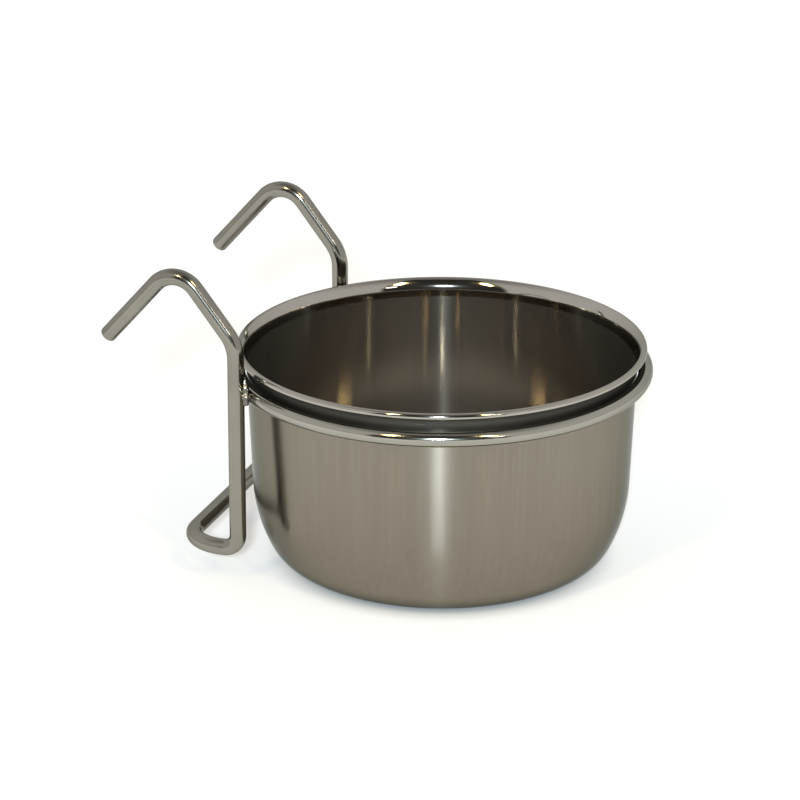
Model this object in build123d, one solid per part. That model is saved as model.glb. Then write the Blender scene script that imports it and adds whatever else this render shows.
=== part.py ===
from build123d import *

import os
from math import cos, radians, sin, sqrt, tan

# A steel seed cup that hangs on a bird cage in a welded wire holder. All lengths are millimetres.
# The origin is the middle of the cup's base, +Z is up the cup's axis and +Y points at the cage.

# Cup: one deep-drawn sheet, with a flared lip whose edge is curled over. Radii are on the hollow side.
cup_height = 54.4
lip_outer_diameter = 98.7
sheet_thickness = 0.6
wall_taper_deg = 2.6
corner_inside_radius = 9.4
corner_turn_deg = 63.5
belly_inside_radius = 35.2
flare_inside_radius = 3.4
flare_turn_deg = 47.0
curl_inside_radius = 0.25
curl_edge_length = 0.45

# Support ring: a closed wire hoop that the cup drops into until its lip meets the ring.
ring_wire_diameter = 3.6
ring_to_wall_clearance = 0.25
lip_to_ring_gap = 3.0

# Hook wire: two hooks, two uprights and the foot that keeps the cup off the cage, bent from one wire.
hook_wire_diameter = 4.0
upright_spacing = 71.6
knee_above_ring = 12.8
knee_inside_radius = 8.2
hook_rise = 19.0
hook_reach = 14.7
hook_inside_radius = 4.5
hook_tip_drop = 20.5
hook_tip_reach = 18.1
hook_tip_round = 0.5
foot_below_ring = 38.9
foot_stand_off = 14.5
foot_inside_radius = 1.6
foot_straight = 1.0

# Welds: one bead in the corner where each upright crosses the outside of the ring.
weld_gap = 0.15
weld_bead_radius = 2.4
weld_bead_straight = 1.8
weld_to_lip_clearance = 0.3

half_sheet = sheet_thickness / 2
ring_wire_radius = ring_wire_diameter / 2
hook_wire_radius = hook_wire_diameter / 2
wall_heading = 90 - wall_taper_deg
flare_heading = wall_heading - flare_turn_deg


def section_steps(base_run, wall_run):
    """The middle line of the cup's sheet, from the axis out: a length or a radius, and a turn in degrees."""
    return {
        "base": (base_run, 0),
        "corner": (corner_inside_radius + half_sheet, corner_turn_deg),
        "belly": (belly_inside_radius + half_sheet, wall_heading - corner_turn_deg),
        "wall": (wall_run, 0),
        "flare": (flare_inside_radius + half_sheet, -flare_turn_deg),
        "curl": (curl_inside_radius + half_sheet, -flare_heading - 90),
        "edge": (curl_edge_length, 0),
    }


def walk(steps):
    """The start, middle and end of each step of the middle line, each as (x, z, heading)."""
    x, z, heading = 0.0, half_sheet, 0.0
    stretches = {}
    for name, (size, turn) in steps.items():
        stretch = [(x, z, heading)]
        side = 1 if turn > 0 else -1
        for share in (0.5, 1.0):
            towards = heading + turn * share
            if turn:
                new_x = x + side * size * (sin(radians(towards)) - sin(radians(heading)))
                new_z = z + side * size * (cos(radians(heading)) - cos(radians(towards)))
            else:
                new_x = x + size * share * cos(radians(heading))
                new_z = z + size * share * sin(radians(heading))
            stretch.append((new_x, new_z, towards))
        x, z, heading = stretch[-1]
        stretches[name] = stretch
    return stretches


def beside(station, distance):
    """The point at a distance to the left of a station of the middle line."""
    x, z, heading = station
    return (x - distance * sin(radians(heading)), z + distance * cos(radians(heading)))


def sheet_side(steps, distance):
    """The edges of the sheet's face at a distance to the left of its middle line, by step."""
    edges = {}
    for name, stretch in walk(steps).items():
        start, middle, end = [beside(station, distance) for station in stretch]
        edges[name] = ThreePointArc(start, middle, end) if steps[name][1] else Line(start, end)
    return edges


# The flat base and the straight wall are as long as the cup's width and height leave them.
bare_steps = section_steps(0, 0)
bare_line = walk(bare_steps)
curl_radius = bare_steps["curl"][0]
bare_top_z = bare_line["flare"][-1][1] + curl_radius * (1 - cos(radians(flare_heading))) + half_sheet
bare_lip_x = bare_line["edge"][-1][0] + half_sheet
wall_run = (cup_height - bare_top_z) / sin(radians(wall_heading))
base_run = lip_outer_diameter / 2 - bare_lip_x - wall_run * cos(radians(wall_heading))

cup_steps = section_steps(base_run, wall_run)
inner_face = sheet_side(cup_steps, half_sheet)
outer_face = sheet_side(cup_steps, -half_sheet)
axis_edge = Line(inner_face["base"] @ 0, outer_face["base"] @ 0)
lip_edge = Line(inner_face["edge"] @ 1, outer_face["edge"] @ 1)
section = make_face([*inner_face.values(), *outer_face.values(), axis_edge, lip_edge])
cup = revolve(Plane.XZ * section, Axis.Z)

# The ring lies level, a gap below the lip's edge, with its clearance to the tapered wall there.
lip_edge_z = walk(cup_steps)["edge"][-1][1]
ring_z = lip_edge_z - lip_to_ring_gap - ring_wire_radius
wall_top = outer_face["wall"] @ 1
wall_radius_at_ring = wall_top.X - (wall_top.Y - ring_z) * tan(radians(wall_taper_deg))
ring_centre_radius = wall_radius_at_ring + ring_to_wall_clearance + ring_wire_radius
support_ring = Pos(0, 0, ring_z) * Torus(ring_centre_radius, ring_wire_radius)

# The uprights stand outside the ring, with the weld gap left between the two wires.
upright_reach = ring_centre_radius + ring_wire_radius + weld_gap + hook_wire_radius
upright_x = upright_spacing / 2
upright_y = sqrt(upright_reach**2 - upright_x**2)
knee_z = ring_z + knee_above_ring
crown_y = upright_y + hook_reach
crown_z = knee_z + hook_rise
tip_y = crown_y + hook_tip_reach
tip_z = crown_z - hook_tip_drop
foot_z = ring_z - foot_below_ring
bar_y = upright_y + foot_stand_off

# One half of the wire's centre line, from the hook's tip to the foot bar, and the other as its mirror image.
half_line = [(tip_y, tip_z), (crown_y, crown_z), (upright_y, knee_z), (upright_y, foot_z), (bar_y, foot_z)]
right_half = [(upright_x, y, z) for y, z in half_line]
left_half = [(-upright_x, y, z) for y, z in half_line]
foot_bend_radius = foot_inside_radius + hook_wire_radius
bar_bend_radius = foot_stand_off - foot_bend_radius - foot_straight
half_bends = [
    hook_inside_radius + hook_wire_radius,
    knee_inside_radius + hook_wire_radius,
    foot_bend_radius,
    bar_bend_radius,
]
centre_line = FilletPolyline(*right_half, *left_half[::-1], radius=half_bends + half_bends[::-1])
wire_section = Plane(centre_line @ 0, z_dir=centre_line % 0) * Circle(hook_wire_radius)
bent_wire = sweep(wire_section, centre_line)
tip_edges = bent_wire.edges().filter_by(GeomType.CIRCLE).sort_by(Axis.Y)[-2:]
hook_wire = fillet(tip_edges, hook_tip_round)


def weld_bead(side):
    """The bead of the upright on one side: an upright capsule, less the wires and the lip's way past it."""
    outward = Vector(side * upright_x, upright_y) / upright_reach
    middle = outward * (ring_centre_radius + ring_wire_radius + weld_gap / 2)
    bead = Cylinder(weld_bead_radius, weld_bead_straight)
    for end_z in (-weld_bead_straight / 2, weld_bead_straight / 2):
        bead += Pos(0, 0, end_z) * Sphere(weld_bead_radius)
    lip_way = Cylinder(lip_outer_diameter / 2 + weld_to_lip_clearance, cup_height)
    placed = Pos(middle.X, middle.Y, ring_z) * bead
    return placed - Pos(0, 0, ring_z) * lip_way - support_ring - hook_wire


nodes = {
    "cup": cup,
    "support_ring": support_ring,
    "hook_wire": hook_wire,
    "ring_weld_left": weld_bead(-1),
    "ring_weld_right": weld_bead(1),
}

os.makedirs("parts", exist_ok=True)
for name, shape in nodes.items():
    export_step(shape, f"parts/{name}.step")

places = {
    "flat base radius": base_run,
    "lip edge height": lip_edge_z,
    "ring height": ring_z,
    "ring centre radius": ring_centre_radius,
    "wall radius at the ring": wall_radius_at_ring,
    "upright y": upright_y,
    "knee height": knee_z,
    "crown y": crown_y,
    "crown height": crown_z,
    "hook tip y": tip_y,
    "hook tip height": tip_z,
    "foot height": foot_z,
    "foot bar y": bar_y,
    "foot bar bend radius": bar_bend_radius,
    "hook wire length": centre_line.length,
}
for name, value in places.items():
    print(f"{name}: {value:.2f}")
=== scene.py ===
# %% [markdown]
# # A hanging seed cup in steel
#
# The object is a drawn steel cup that hangs on a bird cage in a holder of bent wire. The holder is a ring
# round the cup, one long wire that makes the hooks, the uprights and the foot, and two weld beads. Nearly
# all of its look is reflection, so this lesson spends as much care on smooth surfaces and on what stands
# round the cup as on the finishes. The first step loads the measured model, which is the frame that every
# piece is built in.

# %% Load the frame
from math import atan2, cos, hypot, pi, radians, sin, tan

import bpy
import numpy as np
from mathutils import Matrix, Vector


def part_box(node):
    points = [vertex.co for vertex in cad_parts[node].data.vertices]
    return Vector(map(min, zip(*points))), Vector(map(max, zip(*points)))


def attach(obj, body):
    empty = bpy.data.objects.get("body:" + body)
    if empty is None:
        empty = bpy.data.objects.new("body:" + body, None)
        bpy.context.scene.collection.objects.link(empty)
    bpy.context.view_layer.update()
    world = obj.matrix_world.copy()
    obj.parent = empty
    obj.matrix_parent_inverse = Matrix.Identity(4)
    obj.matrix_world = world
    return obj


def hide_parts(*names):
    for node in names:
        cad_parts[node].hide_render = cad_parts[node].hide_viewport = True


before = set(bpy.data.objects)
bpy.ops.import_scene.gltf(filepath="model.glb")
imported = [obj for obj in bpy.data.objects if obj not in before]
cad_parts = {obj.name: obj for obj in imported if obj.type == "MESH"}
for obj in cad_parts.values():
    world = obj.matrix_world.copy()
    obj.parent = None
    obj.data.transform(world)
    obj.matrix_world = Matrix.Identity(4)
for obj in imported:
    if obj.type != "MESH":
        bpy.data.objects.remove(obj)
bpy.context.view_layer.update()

# %% [markdown]
# ## Sizes
#
# A new piece has to lie exactly where the measured one lies. The outer sizes are therefore read from the
# frame's boxes, and only what a box can't tell, such as the thickness of the sheet or the radius of a
# bend, is written down here. Blender works in metres, so a small unit keeps the numbers readable.

# %% Read the sizes
MM = 0.001
cup_low, cup_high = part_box("cup")
ring_low, ring_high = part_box("support_ring")
hook_low, hook_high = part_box("hook_wire")

cup_height = cup_high.z
lip_radius = cup_high.x
sheet = 0.6 * MM

ring_wire_radius = (ring_high.z - ring_low.z) / 2
ring_radius = min(ring_high.x, ring_high.y, -ring_low.x, -ring_low.y) - ring_wire_radius
ring_z = (ring_high.z + ring_low.z) / 2

hook_wire_radius = 1.995 * MM
upright_x = hook_high.x - hook_wire_radius
upright_y = hook_low.y + hook_wire_radius
foot_z = hook_low.z + hook_wire_radius
print(f"cup {cup_height / MM:.1f} mm high, lip {2 * lip_radius / MM:.1f} mm, ring at {ring_z / MM:.1f} mm")

# %% [markdown]
# ## From a grid of points to a mesh
#
# Every piece here is a tube of some kind: a row of points goes once round it, and the rows follow each
# other from one end to the other. Blender could make such shapes with its Spin and Screw modifiers or
# with bevelled curves, but a grid of points worked out with numpy is exact, needs no clean-up and can
# carry its own pattern coordinates. The function below joins a grid into quads, closes both ends with a
# fan of triangles and turns the faces outwards. It also stores a vector called section on every point,
# which the finishes use later to lay fine lines along a piece.

# %% A mesh from a grid
def surface(name, points, section, row_finish=None, looped=False):
    """Join a grid of points, rows by columns, into one closed mesh.

    Columns always join up into rings. With looped the last row joins the first, as on a hoop. Otherwise the
    middle of each end row becomes the hub of a fan. The enclosed volume is the sum of the triple products of
    all triangles over six, and a negative one means that the faces look inwards, so they are reversed.
    """
    rows, columns, _ = points.shape
    index = np.arange(rows * columns).reshape(rows, columns)
    start = index if looped else index[:-1]
    after = np.roll(index, -1, axis=0) if looped else index[1:]
    quads = np.stack([start, np.roll(start, -1, 1), np.roll(after, -1, 1), after], axis=-1).reshape(-1, 4)
    corners = points.reshape(-1, 3)
    marks = section.reshape(-1, 3)
    fans = np.empty((0, 3), int)
    finish = np.zeros(len(quads), int)
    if row_finish is not None:
        finish = np.repeat(row_finish[: len(start)], columns)
    if not looped:
        first, last, hub = index[0], index[-1], np.full(columns, rows * columns)
        fans = np.concatenate([
            np.stack([np.roll(first, -1), first, hub], axis=-1),
            np.stack([last, np.roll(last, -1), hub + 1], axis=-1),
        ])
        corners = np.concatenate([corners, points[[0, -1]].mean(axis=1)])
        marks = np.concatenate([marks, section[[0, -1]].mean(axis=1)])
        finish = np.concatenate([finish, np.repeat(finish[[0, -1]], columns)])
    triangles = np.concatenate([quads[:, :3], quads[:, [0, 2, 3]], fans])
    a, b, c = np.moveaxis(corners[triangles], 1, 0)
    volume = np.sum(a * np.cross(b, c)) / 6
    if volume < 0:
        quads, fans = quads[:, ::-1], fans[:, ::-1]
    mesh = bpy.data.meshes.new(name)
    mesh.from_pydata(corners, [], quads.tolist() + fans.tolist())
    mesh.polygons.foreach_set("use_smooth", np.ones(len(mesh.polygons), bool))
    mesh.polygons.foreach_set("material_index", finish.astype(np.int32))
    mesh.attributes.new("section", "FLOAT_VECTOR", "POINT").data.foreach_set("vector", marks.ravel())
    mesh.update()
    piece = bpy.data.objects.new(name, mesh)
    bpy.context.scene.collection.objects.link(piece)
    print(f"{name}: {len(triangles)} triangles, {abs(volume) / MM**3:.0f} cubic mm")
    return piece


# %% [markdown]
# ## The cup
#
# The real cup is pressed from one flat disc of sheet, and its rim is rolled outwards into a small curl.
# Its section is easiest to describe as a walk along the middle of the sheet: straight across the base,
# round the corner, along a gentle belly, up the slightly tapered wall, out over the flare of the lip and
# down round the curl. An arc of length s that turns by an angle a ends s times sinc(a / 2) away from its
# start, in the direction half way through its turn, and a straight run is the same formula with no turn,
# so one short function walks them all. The two faces of the sheet lie half a thickness to each side of
# that line.

# %% Walk along the sheet
wall_taper = radians(2.6)
corner_turn = radians(63.5)
flare_turn = radians(47)
corner_bend = 9.4 * MM + sheet / 2
belly_bend = 35.2 * MM + sheet / 2
flare_bend = 3.4 * MM + sheet / 2
curl_bend = 0.25 * MM + sheet / 2
edge_run = 0.45 * MM - sheet / 2

wall_heading = pi / 2 - wall_taper
belly_turn = wall_heading - corner_turn
curl_turn = wall_heading - flare_turn + pi / 2


def walk(steps):
    """Rows of (radius, height, heading, distance) along steps of (length, turn, number of rows)."""
    x, z, heading, run = 0.0, sheet / 2, 0.0, 0.0
    stretches = []
    for length, turn, rows in steps:
        share = np.arange(1, rows + 1) / rows
        direction = heading + turn * share / 2
        chord = length * share * np.sinc(turn * share / (2 * pi))
        across, up = x + chord * np.cos(direction), z + chord * np.sin(direction)
        stretches.append(np.stack([across, up, heading + turn * share, run + length * share], axis=1))
        x, z, heading, run = stretches[-1][-1]
    return np.concatenate(stretches)


def cup_steps(base_run, wall_run):
    """The section's stretches in order, each with the number of rows that its curve needs."""
    return [
        (base_run, 0, 10),
        (corner_bend * corner_turn, corner_turn, 16),
        (belly_bend * belly_turn, belly_turn, 18),
        (wall_run, 0, 24),
        (flare_bend * flare_turn, -flare_turn, 16),
        (curl_bend * curl_turn, -curl_turn, 16),
        (edge_run, 0, 2),
    ]


bare = walk(cup_steps(0, 0))
left_over_height = cup_height - bare[:, 1].max() - sheet / 2
left_over_radius = lip_radius - bare[:, 0].max() - sheet / 2
wall_run = left_over_height / sin(wall_heading)
base_run = left_over_radius - wall_run * cos(wall_heading)
middle_line = walk(cup_steps(base_run, wall_run))
print(f"flat base to {base_run / MM:.2f} mm, straight wall {wall_run / MM:.2f} mm long")

# %% [markdown]
# The wall is then spun round the axis. A pressed sheet is never perfectly round: its wall carries waves
# of a few hundredths of a millimetre, far too small to see as shape, but enough to bend a reflection a
# little. They are added to the radius where the wall is, and fade out at the lip and at the base. The
# rows also say which finish they take: satin outside, polished on the lip, and the less even hollow
# inside.

# %% Spin the cup
SATIN, POLISHED, HOLLOW = 0, 1, 2
cup_columns = 256
edge_rows = 8
wave_height = 0.02 * MM
wave_fade = 12 * MM
# Each wave: its number of crests round the cup, its share, its shift and its twist per metre of height.
wall_waves = [(2, 1.0, 0.4, 0.0), (3, 0.6, 2.1, 60.0), (7, 0.4, 0.0, 0.0)]
rim_run = flare_bend * flare_turn + curl_bend * curl_turn + edge_run
rim_start = middle_line[:, 3].searchsorted(middle_line[-1, 3] - rim_run)


def cup_profile():
    """Rows of (radius, height, distance along the sheet): up outside, round the cut edge, down inside."""
    radius, height, heading, run = middle_line.T
    left = np.stack([-np.sin(heading), np.cos(heading)], axis=1)
    line = np.stack([radius, height], axis=1)
    forward = np.array([cos(heading[-1]), sin(heading[-1])])
    round_edge = np.linspace(0, pi, edge_rows + 2)[1:-1, None]
    edge = line[-1] + sheet / 2 * (forward * np.sin(round_edge) - left[-1] * np.cos(round_edge))
    outline = np.concatenate([line - left * sheet / 2, edge, (line + left * sheet / 2)[::-1]])
    distance = np.concatenate([run, np.full(len(edge), run[-1]), run[::-1]])
    return outline[:, 0], outline[:, 1], distance


def spin_cup():
    """Spin the profile: the radius, with the wall's waves added, times the angle's cosine and sine."""
    radius, height, distance = (values[:, None] for values in cup_profile())
    angle = np.linspace(0, 2 * pi, cup_columns, endpoint=False)[None, :]
    fade = np.clip(height / wave_fade, 0, 1) * np.clip((cup_height - height) / wave_fade, 0, 1)
    waves = 0
    for crests, share, shift, twist in wall_waves:
        waves = waves + share * np.sin(crests * angle + shift + twist * height)
    spun = radius + wave_height * fade * waves
    points = np.stack([spun * np.cos(angle), spun * np.sin(angle), height + 0 * angle], axis=-1)
    section = np.stack([distance + 0 * angle, 0 * spun, 0 * spun], axis=-1)
    finish = np.full(len(radius), POLISHED)
    finish[: len(middle_line)] = SATIN
    finish[-rim_start:] = HOLLOW
    return surface("seed_cup", points, section, finish)


cup = spin_cup()

# %% [markdown]
# ## The ring
#
# The cup hangs in a closed hoop of round wire. Blender's own torus would do, but the same grid function
# keeps all the pieces alike: one angle goes round the hoop and the other round its wire. The section
# vector holds the place within the wire, so that a pattern made from it runs along the wire and never
# shows a seam.

# %% Bend the ring
ring_rows, ring_columns = 288, 40


def wire_section(turn, radius):
    """The place within a round wire, at an angle round it."""
    return np.stack([radius * np.cos(turn), radius * np.sin(turn), 0 * turn], axis=-1)


def bend_ring():
    """A torus: the hoop's radius plus the wire's radius times the cosine of the angle round the wire."""
    round_hoop = np.linspace(0, 2 * pi, ring_rows, endpoint=False)[:, None]
    round_wire = np.linspace(0, 2 * pi, ring_columns, endpoint=False)[None, :] + 0 * round_hoop
    reach = ring_radius + ring_wire_radius * np.cos(round_wire)
    height = ring_z + ring_wire_radius * np.sin(round_wire)
    points = np.stack([reach * np.cos(round_hoop), reach * np.sin(round_hoop), height], axis=-1)
    return surface("ring", points, wire_section(round_wire, ring_wire_radius), looped=True)


ring = bend_ring()

# %% [markdown]
# ## The hook wire
#
# Hooks, uprights and foot are one wire, bent by a machine that feeds a length, bends, and feeds again.
# The grid can be made in just that way. Starting at the middle of the foot bar, each step is a length of
# wire and a turn about an axis, with the sinc formula in three dimensions, and the two directions across
# the wire turn along with it. The other half is the mirror image. The cut tips are slightly rounded.

# %% Lengths and bends of the wire
knee_above_ring = 12.8 * MM
hook_rise, hook_reach = 19.0 * MM, 14.7 * MM
tip_drop, tip_reach = 20.5 * MM, 18.1 * MM
foot_stand_off = 14.5 * MM
foot_straight = 1.0 * MM
tip_round = 0.8 * MM
hook_bend = 4.5 * MM + hook_wire_radius
knee_bend = 8.2 * MM + hook_wire_radius
foot_bend = 1.6 * MM + hook_wire_radius
bar_bend = foot_stand_off - foot_bend - foot_straight
wire_columns, tip_rows = 40, 7

UP, SIDEWAYS = Vector((0, 0, 1)), Vector((1, 0, 0))
knee_turn = atan2(hook_reach, hook_rise)
crown_turn = atan2(hook_rise, hook_reach) + atan2(tip_drop, tip_reach)
knee_lost = knee_bend * tan(knee_turn / 2)
crown_lost = hook_bend * tan(crown_turn / 2)
upright_run = ring_z + knee_above_ring - foot_z - foot_bend - knee_lost
shank_run = hypot(hook_rise, hook_reach) - knee_lost - crown_lost
tip_run = hypot(tip_drop, tip_reach) - crown_lost - tip_round

# Each step: a length, a turn, the axis of the turn and the number of rows.
wire_steps = [
    (upright_x - bar_bend, 0, UP, 12),
    (bar_bend * pi / 2, -pi / 2, UP, 24),
    (foot_straight, 0, UP, 2),
    (foot_bend * pi / 2, -pi / 2, SIDEWAYS, 20),
    (upright_run, 0, SIDEWAYS, 30),
    (knee_bend * knee_turn, -knee_turn, SIDEWAYS, 16),
    (shank_run, 0, SIDEWAYS, 12),
    (hook_bend * crown_turn, -crown_turn, SIDEWAYS, 30),
    (tip_run, 0, SIDEWAYS, 14),
]


def turned(vector, axis, angle):
    """A vector turned about an axis by every angle of a column, by Rodrigues' formula."""
    across, along = np.cross(axis, vector), np.asarray(axis) * np.dot(axis, vector)
    return vector * np.cos(angle) + across * np.sin(angle) + along * (1 - np.cos(angle))


def feed_wire():
    """Places and the two cross directions along half of the wire, from the middle of the bar to the tip."""
    place = np.array([0, upright_y + foot_stand_off, foot_z])
    forward, first, second = np.eye(3)
    places, firsts, seconds = [place[None]], [first[None]], [second[None]]
    for length, turn, axis, rows in wire_steps:
        share = np.arange(1, rows + 1)[:, None] / rows
        chord = length * share * np.sinc(turn * share / (2 * pi))
        places.append(place + chord * turned(forward, axis, turn * share / 2))
        firsts.append(turned(first, axis, turn * share))
        seconds.append(turned(second, axis, turn * share))
        place, first, second = places[-1][-1], firsts[-1][-1], seconds[-1][-1]
        forward = np.cross(first, second)
    rounding = np.linspace(0, pi / 2, tip_rows + 1)[1:, None]
    places.append(place + forward * tip_round * np.sin(rounding))
    firsts.append(first + 0 * rounding)
    seconds.append(second + 0 * rounding)
    radius = np.full(sum(map(len, places)), hook_wire_radius)
    radius[-len(rounding) :] -= tip_round * (1 - np.cos(rounding[:, 0]))
    return np.concatenate(places), np.concatenate(firsts), np.concatenate(seconds), radius


def bend_hook_wire():
    """A circle carried along the wire: its cosine and sine along the two cross directions at each place."""
    places, firsts, seconds, radius = feed_wire()
    round_wire = np.linspace(0, 2 * pi, wire_columns, endpoint=False)[None, :] + 0 * radius[:, None]
    ring_x = (radius[:, None] * np.cos(round_wire))[..., None]
    ring_y = (radius[:, None] * np.sin(round_wire))[..., None]
    right = places[:, None] + ring_x * firsts[:, None] + ring_y * seconds[:, None]
    left = right * np.array([-1, 1, 1])
    section = wire_section(round_wire, radius[:, None])
    points = np.concatenate([left[:0:-1], right])
    return surface("hook_wire_bent", points, np.concatenate([section[:0:-1], section]))


hook_wire = bend_hook_wire()

# %% [markdown]
# ## The weld beads
#
# Each upright is welded to the outside of the ring. Such a bead is a row of small frozen pools of steel:
# a lumpy egg in the corner between the two wires, which climbs the upright a little and gets thinner
# there. An egg's points follow from two angles, as on a globe, and a wave along its height gives the
# pools. It stays clear of the way that the lip takes when the cup is lifted.

# %% Lay the beads
bead_rows, bead_columns = 40, 56
bead_half_height = 3.4 * MM
bead_half_width = 2.15 * MM
bead_inner_depth = 0.95 * MM
bead_outer_depth = 1.7 * MM
bead_gap = 0.075 * MM
bead_rise = 1.1 * MM
pool_count = 3
pool_depth = 0.09
pool_skew = 0.5
top_thinning = 0.25


def lay_bead(name, side):
    """A lumpy egg, by the angle from its top and the angle round it.

    Its height is the cosine of the angle from the top. Its girth is the square root of that angle's sine,
    times the wave of the pools, and gets thinner towards the top.
    """
    from_top = np.linspace(0, pi, bead_rows + 2)[1:-1, None]
    round_bead = np.linspace(0, 2 * pi, bead_columns, endpoint=False)[None, :]
    level = np.cos(from_top)
    pools = 1 - pool_depth * np.cos(pool_count * pi * level + pool_skew * side * np.cos(round_bead))
    girth = np.sqrt(np.sin(from_top)) * pools * (1 - top_thinning * level)
    depth = np.where(np.sin(round_bead) > 0, bead_outer_depth, bead_inner_depth)
    width = bead_half_width * girth * np.cos(round_bead)
    outward = depth * girth * np.sin(round_bead)
    height = bead_rise + bead_half_height * level + 0 * round_bead
    reach = Vector((side * upright_x, upright_y)).normalized()
    middle = ring_radius + ring_wire_radius + bead_gap
    x = reach.x * (middle + outward) - reach.y * width
    y = reach.y * (middle + outward) + reach.x * width
    points = np.stack([x, y, ring_z + height], axis=-1)
    return surface(name, points, points)


bead_left = lay_bead("weld_bead_left", -1)
bead_right = lay_bead("weld_bead_right", 1)

# %% [markdown]
# ## Shader maths in Python
#
# Node trees are clear on a screen and tiresome in a script. One small class makes them short: it holds a
# socket, and arithmetic on it adds Math nodes, so that a finish reads like the formula that it is. All
# other nodes come from its one method, which sets a node up, fills its sockets and gives back one output.

# %% A socket that can do sums
class Shade:
    """One value that runs through the nodes of a material, with arithmetic that adds Math nodes."""

    def __init__(self, tree, socket=None):
        self.tree, self.socket = tree, socket

    def node(self, kind, settings=None, inputs=None, output=0):
        """Add a node of a kind, with its settings first, then the values or links of its sockets."""
        made = self.tree.nodes.new("ShaderNode" + kind)
        for name, value in (settings or {}).items():
            setattr(made, name, value)
        for name, value in (inputs or {}).items():
            if isinstance(value, Shade):
                self.tree.links.new(value.socket, made.inputs[name])
            else:
                made.inputs[name].default_value = value
        return Shade(self.tree, made.outputs[output])

    def sum_of(self, operation, first, second):
        """One Math node with two inputs, each of them a number or another Shade."""
        return self.node("Math", {"operation": operation}, {0: first, 1: second})

    def __add__(self, other):
        return self.sum_of("ADD", self, other)

    def __radd__(self, other):
        return self.sum_of("ADD", other, self)

    def __sub__(self, other):
        return self.sum_of("SUBTRACT", self, other)

    def __rsub__(self, other):
        return self.sum_of("SUBTRACT", other, self)

    def __mul__(self, other):
        return self.sum_of("MULTIPLY", self, other)

    def __rmul__(self, other):
        return self.sum_of("MULTIPLY", other, self)


def new_material(name):
    """An empty material, a Shade to build its nodes with and the socket of its output node."""
    material = bpy.data.materials.new(name)
    material.use_nodes = True
    material.node_tree.nodes.clear()
    start = Shade(material.node_tree)
    output = material.node_tree.nodes.new("ShaderNodeOutputMaterial")
    return material, start, output.inputs["Surface"]


# %% [markdown]
# ## The finishes
#
# Steel has no colour of its own to speak of: what changes from place to place is how it was worked. The
# lines left by polishing wheels run round the cup, and they spread a lamp's reflection up and down the
# wall into a tall soft band, while the reflection stays narrow from side to side. That is what the
# Anisotropic setting of the Principled shader does. Turned by a quarter, it spreads across the lines. Two
# patterns add the rest: fine lines from the section vector, and a few broad, faint stains from the place
# on the object.

# %% Patterns for steel
def lines(start, across_per_metre, along_per_metre):
    """Fine lines along a piece: noise that changes fast across its section and slowly with the place."""
    section = start.node("Attribute", {"attribute_name": "section"}, output="Vector")
    place = start.node("TexCoord", output="Object")
    across = start.node("VectorMath", {"operation": "SCALE"}, {0: section, "Scale": across_per_metre})
    along = start.node("VectorMath", {"operation": "SCALE"}, {0: place, "Scale": along_per_metre})
    where = start.node("VectorMath", {"operation": "ADD"}, {0: across, 1: along})
    return start.node("TexNoise", None, {"Vector": where, "Scale": 1.0, "Detail": 3.0})


def stains(start, per_metre, stretch=(1, 1, 1)):
    """Broad soft patches: noise on the place, stretched where a stretch under one is given."""
    place = start.node("TexCoord", output="Object")
    where = start.node("VectorMath", {"operation": "MULTIPLY"}, {0: place, 1: stretch})
    return start.node("TexNoise", None, {"Vector": where, "Scale": per_metre, "Detail": 2.0})


def smooth_step(start, value, low, high):
    """Nothing below a low value, one above a high one, and smooth between."""
    settings = {"interpolation_type": "SMOOTHSTEP"}
    return start.node("MapRange", settings, {"Value": value, "From Min": low, "From Max": high})


def height_above_floor(start):
    """The height of a place on the object."""
    place = start.node("TexCoord", output="Object")
    return start.node("SeparateXYZ", None, {0: place}, output="Z")


def tinted(start, dark, light, factor):
    """A colour between two, by a factor. Each is three numbers or comes from other nodes."""
    dark, light = (tone if isinstance(tone, Shade) else (*tone, 1) for tone in (dark, light))
    settings = {"data_type": "RGBA", "blend_type": "MIX"}
    return start.node("Mix", settings, {0: factor, 6: dark, 7: light}, output=2)


def grooves(start, pattern, depth):
    """A normal that follows a pattern as shallow grooves."""
    return start.node("Bump", None, {"Height": pattern, "Distance": depth, "Strength": 1.0})


EDGE_TINT = (0.5, 0.52, 0.5, 1)
QUARTER_TURN = 0.25


def steel(start, colour, roughness, normal, spread=0.0):
    """A metal surface. Spread is how much more it blurs across its lines than along them."""
    return start.node("BsdfPrincipled", None, {
        "Base Color": colour,
        "Roughness": roughness,
        "Normal": normal,
        "Metallic": 1.0,
        "Anisotropic": spread,
        "Anisotropic Rotation": QUARTER_TURN,
        "Specular Tint": EDGE_TINT,
    })


# %% [markdown]
# The outside of the cup is satin. Part of its surface is the tops of the lines, which mirror sharply, and
# the rest is their flanks, which blur up and down. One lobe of reflection can't do both, so two shaders
# are mixed. Towards the base the lines get shallower, so there is less of the flanks there, and the colour
# is painted darker there as painted shade, for the shadowed floor that the low wall reflects. The neck
# under the lip, above the ring, gets a dull dark steel: painted shade, for the shade that the lip and the
# ring cast there.

# %% Satin steel outside
shallow_lines_painted_shade_z, deep_lines_unshaded_z = 8 * MM, 42 * MM
neck_start_z, neck_full_z = ring_z - 1.5 * MM, ring_z + 2.5 * MM
tops_at_base, tops_lost_above = 0.65, 0.53
satin_dark, satin_light = (0.211, 0.183, 0.149), (0.268, 0.241, 0.199)
neck_painted_shade_dark, neck_painted_shade_light = (0.075, 0.071, 0.064), (0.115, 0.108, 0.097)


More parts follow.
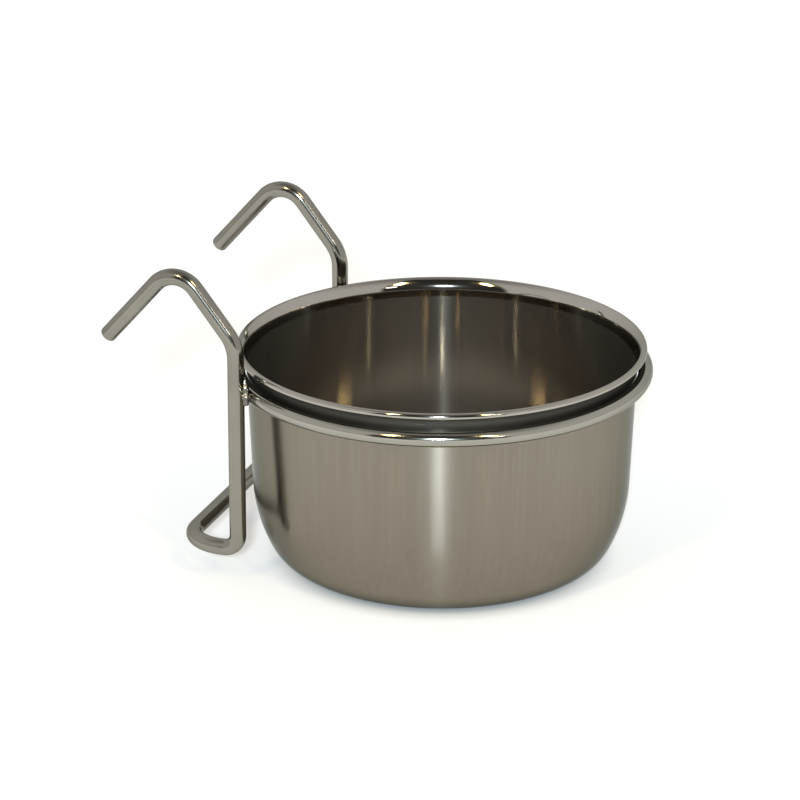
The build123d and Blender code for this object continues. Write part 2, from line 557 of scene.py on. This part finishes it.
def satin_steel():
    """Flanks and tops mixed by height; painted shade darker at the base and on the neck, both by height."""
    material, start, surface_in = new_material("satin_steel")
    drawn = stains(start, per_metre=900.0, stretch=(1, 1, 0.02))
    worn = stains(start, per_metre=45.0)
    brushed = lines(start, across_per_metre=9000.0, along_per_metre=60.0)
    upper = smooth_step(start, height_above_floor(start), shallow_lines_painted_shade_z, deep_lines_unshaded_z)
    # The colour is painted darker towards the base: painted shade of the shadowed floor that the wall
    # reflects.
    tone = 0.7 * upper + 0.4 * worn + 0.8 * drawn - 0.45
    colour = tinted(start, satin_dark, satin_light, tone)
    normal = grooves(start, brushed, depth=0.002 * MM)
    flanks = steel(start, colour, 0.21 + 0.05 * worn, normal, spread=1.0)
    tops = steel(start, colour, 0.12 + 0.08 * drawn, normal, spread=0.9)
    tops_share = tops_at_base - tops_lost_above * upper
    satin = start.node("MixShader", None, {0: tops_share, 1: flanks, 2: tops})
    # Painted shade: a dull dark steel on the neck stands in for the shade under the lip and above the ring.
    skin = tinted(start, neck_painted_shade_dark, neck_painted_shade_light, worn)
    painted_shade_neck_steel = steel(start, skin, 0.42 + 0.1 * worn, normal)
    neck = smooth_step(start, height_above_floor(start), neck_start_z, neck_full_z)
    mixed = start.node("MixShader", None, {0: neck, 1: satin, 2: painted_shade_neck_steel})
    start.tree.links.new(mixed.socket, surface_in)
    return material


# %% [markdown]
# The lip is buffed bright, and so are the wires, along which the drawing die has left faint lines. The
# hollow is polished too, but less evenly: its lines still pull every reflected light into an upright
# streak, and a veil of fine scratches blurs a small share of the light in all directions.

# %% Polished steel
lip_dark, lip_light = (0.38, 0.355, 0.315), (0.46, 0.435, 0.39)
hollow_dark, hollow_light = (0.36, 0.325, 0.28), (0.415, 0.375, 0.322)
veil_share = 0.09


def polished_lip():
    """Buffed steel with very shallow lines, a little rougher where it is worn."""
    material, start, surface_in = new_material("polished_lip")
    worn = stains(start, per_metre=60.0)
    colour = tinted(start, lip_dark, lip_light, worn)
    normal = grooves(start, lines(start, across_per_metre=6000.0, along_per_metre=40.0), depth=0.001 * MM)
    start.tree.links.new(steel(start, colour, 0.05 + 0.05 * worn, normal).socket, surface_in)
    return material


def polished_hollow():
    """A bright lobe that blurs up and down only, mixed with a small share of a veil that blurs all round."""
    material, start, surface_in = new_material("polished_hollow")
    drawn = stains(start, per_metre=700.0, stretch=(1, 1, 0.03))
    worn = stains(start, per_metre=40.0)
    colour = tinted(start, hollow_dark, hollow_light, 0.5 * drawn + 0.5 * worn)
    normal = grooves(start, lines(start, across_per_metre=7000.0, along_per_metre=40.0), depth=0.001 * MM)
    bright = steel(start, colour, 0.08 + 0.04 * worn, normal, spread=1.0)
    veil = steel(start, colour, 0.58 + 0.08 * drawn, normal)
    mixed = start.node("MixShader", None, {0: veil_share, 1: bright, 2: veil})
    start.tree.links.new(mixed.socket, surface_in)
    return material


def polished_wire(name, dark, light, smoothest):
    """Lines along the wire give its colour, its grooves and its roughness, which starts at the smoothest."""
    material, start, surface_in = new_material(name)
    drawn = lines(start, across_per_metre=2500.0, along_per_metre=20.0)
    worn = stains(start, per_metre=90.0)
    colour = tinted(start, dark, light, 0.5 * drawn + 0.5 * worn)
    normal = grooves(start, drawn, depth=0.01 * MM)
    start.tree.links.new(steel(start, colour, smoothest + 0.08 * drawn, normal).socket, surface_in)
    return material


# %% [markdown]
# Weld metal freezes with a skin of small ripples, and is only cleaned, not polished.

# %% Weld metal
weld_dark, weld_light = (0.15, 0.14, 0.125), (0.25, 0.235, 0.21)


def weld_metal():
    """One fine pattern gives the skin's colour, its ripples and its roughness."""
    material, start, surface_in = new_material("weld_metal")
    skin = stains(start, per_metre=900.0)
    colour = tinted(start, weld_dark, weld_light, skin)
    normal = grooves(start, skin, depth=0.2 * MM)
    start.tree.links.new(steel(start, colour, 0.2 + 0.14 * skin, normal).socket, surface_in)
    return material


# %% [markdown]
# ## Dress the pieces
#
# Each new piece gets its finish, stands in for the measured piece that it replaces, and rides on the body
# that carries it, so that it moves with the cup or stays with the holder.

# %% Finishes and bodies
def dress(piece, node, body, slot, *finishes):
    """Give a piece its finishes, hide the measured piece that it replaces and hang it on its body."""
    for finish in finishes:
        piece.data.materials.append(finish)
    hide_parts(node)
    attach(piece, body)
    print(f"{piece.name} replaces {node}, rides on {body}")


hook_dark, hook_light = (0.18, 0.17, 0.148), (0.375, 0.353, 0.306)
ring_dark, ring_light = (0.29, 0.277, 0.243), (0.45, 0.43, 0.378)
wire_finish = polished_wire("polished_wire", hook_dark, hook_light, smoothest=0.12)
ring_finish = polished_wire("polished_ring", ring_dark, ring_light, smoothest=0.08)
weld_finish = weld_metal()
dress(cup, "cup", "cup", "cup_steel", satin_steel(), polished_lip(), polished_hollow())
dress(ring, "support_ring", "holder", "wire_steel", ring_finish)
dress(hook_wire, "hook_wire", "holder", "wire_steel", wire_finish)
dress(bead_left, "ring_weld_left", "holder", "weld_steel", weld_finish)
dress(bead_right, "ring_weld_right", "holder", "weld_steel", weld_finish)

# %% [markdown]
# ## The camera
#
# The view is a long lens from about a metre away, a little above the rim, with the hooks to the left. The
# numbers come from fitting the outline of the model to the picture. The camera looks a little above the
# base, so that the base's middle falls below the middle of the frame.

# %% Place the camera
PICTURE_SIDE_PX = 800
FOCAL_PX = 4250
BASE_CENTRE_ROW_PX = 551.6
SENSOR_MM = 36
camera_distance = 1.0403
camera_side_step = 0.01003
camera_elevation = radians(22.59)
camera_azimuth = radians(-70.68)

to_right = Vector((cos(camera_azimuth), sin(camera_azimuth), 0))
away = Vector((-sin(camera_azimuth), cos(camera_azimuth), 0))
forward = away * cos(camera_elevation) - UP * sin(camera_elevation)
upward = away * sin(camera_elevation) + UP * cos(camera_elevation)
eye = -to_right * camera_side_step - forward * camera_distance
aim = forward + upward * ((BASE_CENTRE_ROW_PX - PICTURE_SIDE_PX / 2) / FOCAL_PX)

camera_data = bpy.data.cameras.new("camera")
camera_data.sensor_width = SENSOR_MM
camera_data.lens = SENSOR_MM * FOCAL_PX / PICTURE_SIDE_PX
camera = bpy.data.objects.new("camera", camera_data)
camera.location = eye
camera.rotation_mode = "QUATERNION"
camera.rotation_quaternion = aim.to_track_quat("-Z", "Y")
bpy.context.scene.collection.objects.link(camera)
bpy.context.scene.camera = camera
print("camera at", [round(value, 3) for value in eye])

# %% [markdown]
# ## The studio
#
# Polished steel shows whatever stands round it, so the surroundings are part of the material. Here they
# are a light tent: a pale floor, pale cloth all round, and one dark opening on the camera's side through
# which the picture is taken. The dark opening gives the steel its black streaks. A small lamp stands just
# over the camera, a narrow warm softbox hangs high at each side of the opening, and a faint lamp stands
# lower on its right, for the arms of the hooks.
#
# The floor is pale and takes the lamps' shadows. What it lacks to white is added as a little glow that
# only the camera and mirror-like surfaces see, so that the background is white without any more light on
# the cup. The glow leaves out the place under the cup, where the cup's own shadow is darkest.

# %% Floor
FLOOR_HALF = 6.0
floor_colour = (0.65, 0.65, 0.655, 1)
floor_glow = 0.38
shade_radius, clear_radius = 0.7 * lip_radius, 0.9 * lip_radius


def lay_floor():
    """A square of pale paper. A glow is mixed in for the rays that see it, away from the cup's shade."""
    material, start, surface_in = new_material("floor_paper")
    seen = 0
    for ray in ("Is Camera Ray", "Is Glossy Ray", "Is Transmission Ray"):
        seen = start.node("LightPath", output=ray) + seen
    paper = start.node("BsdfDiffuse", None, {"Color": floor_colour})
    place = start.node("TexCoord", output="Object")
    distance = start.node("VectorMath", {"operation": "LENGTH"}, {0: place}, "Value")
    clear = smooth_step(start, distance, shade_radius, clear_radius)
    glow = start.node("Emission", None, {"Strength": floor_glow})
    glowing = start.node("AddShader", None, {0: paper, 1: glow})
    mixed = start.node("MixShader", None, {0: seen * clear, 1: paper, 2: glowing})
    start.tree.links.new(mixed.socket, surface_in)
    mesh = bpy.data.meshes.new("floor")
    corners = FLOOR_HALF * np.array([(-1, -1, 0), (1, -1, 0), (1, 1, 0), (-1, 1, 0)])
    mesh.from_pydata(corners, [], [(0, 1, 2, 3)])
    mesh.materials.append(material)
    floor = bpy.data.objects.new("floor", mesh)
    bpy.context.scene.collection.objects.link(floor)
    return floor


print("floor:", lay_floor().name, f"{2 * FLOOR_HALF:.0f} m wide")

# %% [markdown]
# The tent is the world's background, given by direction alone: the compass angle from the camera and the
# height decide whether a ray meets the pale cloth or the dark opening, with a soft border between them.

# %% Tent
cloth_light = (0.785, 0.78, 0.765)
roof_light = (0.36, 0.355, 0.35)
opening_light = (0.045, 0.044, 0.042)
roof_start, roof_full = radians(38), radians(78)
opening_middle = radians(-2)
opening_half_width = radians(37.5)
opening_top = radians(72)
border = radians(2)


def raise_tent():
    """The world's light by direction: an arc tangent gives the compass angle, an arc sine the height."""
    world = bpy.data.worlds.new("tent")
    world.use_nodes = True
    world.node_tree.nodes.clear()
    start = Shade(world.node_tree)
    ray = start.node("TexCoord", output="Generated")
    parts = {}
    for name, axis in (("side", to_right), ("front", -away), ("height", UP)):
        parts[name] = start.node("VectorMath", {"operation": "DOT_PRODUCT"}, {0: ray, 1: axis}, "Value")
    compass = start.node("Math", {"operation": "ARCTAN2"}, {0: parts["side"], 1: parts["front"]})
    swing = start.node("Math", {"operation": "ABSOLUTE"}, {0: compass - opening_middle})
    climb = start.node("Math", {"operation": "ARCSINE"}, {0: parts["height"]})
    beside = smooth_step(start, swing, opening_half_width - border, opening_half_width + border)
    above = smooth_step(start, climb, opening_top - border, opening_top + border)
    cloth = tinted(start, cloth_light, roof_light, smooth_step(start, climb, roof_start, roof_full))
    colour = tinted(start, cloth, opening_light, (1 - beside) * (1 - above))
    tent = start.node("Background", None, {"Color": colour})
    output = world.node_tree.nodes.new("ShaderNodeOutputWorld")
    world.node_tree.links.new(tent.socket, output.inputs["Surface"])
    bpy.context.scene.world = world
    return world


print("world:", raise_tent().name)

# %% [markdown]
# Area lamps are the simplest softboxes. Each is placed by its compass angle from the camera and its
# height, and turned to face the cup.

# %% Lamps
lamp_distance = 5.0
cool, warm, pale = (0.85, 1.0, 1.08), (1.0, 0.80, 0.42), (1.0, 0.97, 0.9)


def hang_lamp(name, compass_deg, height_deg, size, watts, colour):
    """Hang a lamp of a width and a height in metres, at a compass angle from the camera, facing the cup."""
    compass, height = radians(compass_deg), radians(height_deg)
    level = to_right * sin(compass) - away * cos(compass)
    direction = level * cos(height) + UP * sin(height)
    data = bpy.data.lights.new(name, "AREA")
    data.shape = "ELLIPSE"
    data.size, data.size_y = size
    data.energy = watts
    data.color = colour
    lamp = bpy.data.objects.new(name, data)
    lamp.location = UP * (cup_height / 2) + direction * lamp_distance
    lamp.rotation_mode = "QUATERNION"
    lamp.rotation_quaternion = (-direction).to_track_quat("-Z", "Y")
    bpy.context.scene.collection.objects.link(lamp)
    print(f"{name}: {watts} W at {compass_deg} and {height_deg} degrees")


hang_lamp("key_lamp", -2, 23, size=(0.36, 0.36), watts=255.0, colour=cool)
hang_lamp("left_softbox", -32, 45, size=(0.36, 1.6), watts=40.0, colour=warm)
hang_lamp("right_softbox", 29, 45, size=(0.36, 1.6), watts=40.0, colour=warm)
hang_lamp("low_lamp", 31, 26, size=(0.5, 0.4), watts=8.0, colour=pale)

# %% [markdown]
#
# The Standard view shows a colour as it is written.

# %% Finish
bpy.context.scene.view_settings.view_transform = "Standard"
